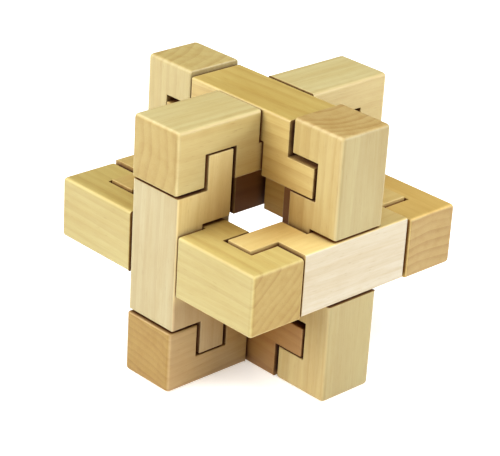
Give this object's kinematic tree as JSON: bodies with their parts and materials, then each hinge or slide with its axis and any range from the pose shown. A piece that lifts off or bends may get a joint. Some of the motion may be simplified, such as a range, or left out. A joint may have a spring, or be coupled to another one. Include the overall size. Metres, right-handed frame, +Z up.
{
  "type": "burr puzzle",
  "caption": "Interlocking wooden burr puzzle: notched bars on every face of a hollow cube, locked by footed bridge pieces; a rear key rail pulls out.",
  "frame": {"origin": "centre of the footprint on the table, below the puzzle's centre", "axes": "+X along the front and rear rails toward the right post, +Y from the front rail to the rear key rail, which is the way every piece slides out, +Z up along the posts"},
  "size_m": [0.065, 0.065, 0.065],
  "materials": {
    "golden_wood": "satin light maple with a golden cast",
    "pale_wood": "satin pale maple",
    "tan_wood": "satin light maple with a tan cast"
  },
  "bodies": {
    "cage": {"top_bar": "golden_wood", "bottom_bar": "golden_wood", "top_bridge": "tan_wood", "bottom_bridge": "tan_wood", "front_bridge": "pale_wood", "rear_bridge": "pale_wood"},
    "front": {"front_rail": "golden_wood"},
    "left_half": {"left_post": "golden_wood", "left_bridge": "tan_wood"},
    "right_half": {"right_post": "golden_wood", "right_bridge": "pale_wood"},
    "key": {"rear_key_rail": "tan_wood"}
  },
  "joints": [
    {"name": "front_rail_slide", "type": "slide", "parent": "cage", "child": "front", "axis": [0, 1, 0], "range_m": [0, 0.017]},
    {"name": "left_half_slide", "type": "slide", "parent": "front", "child": "left_half", "axis": [0, 1, 0], "range_m": [0, 0.016]},
    {"name": "right_half_slide", "type": "slide", "parent": "left_half", "child": "right_half", "axis": [0, 1, 0], "range_m": [0, 0.016]},
    {"name": "key_slide", "type": "slide", "parent": "right_half", "child": "key", "axis": [0, 1, 0], "range_m": [0, 0.018]}
  ]
}
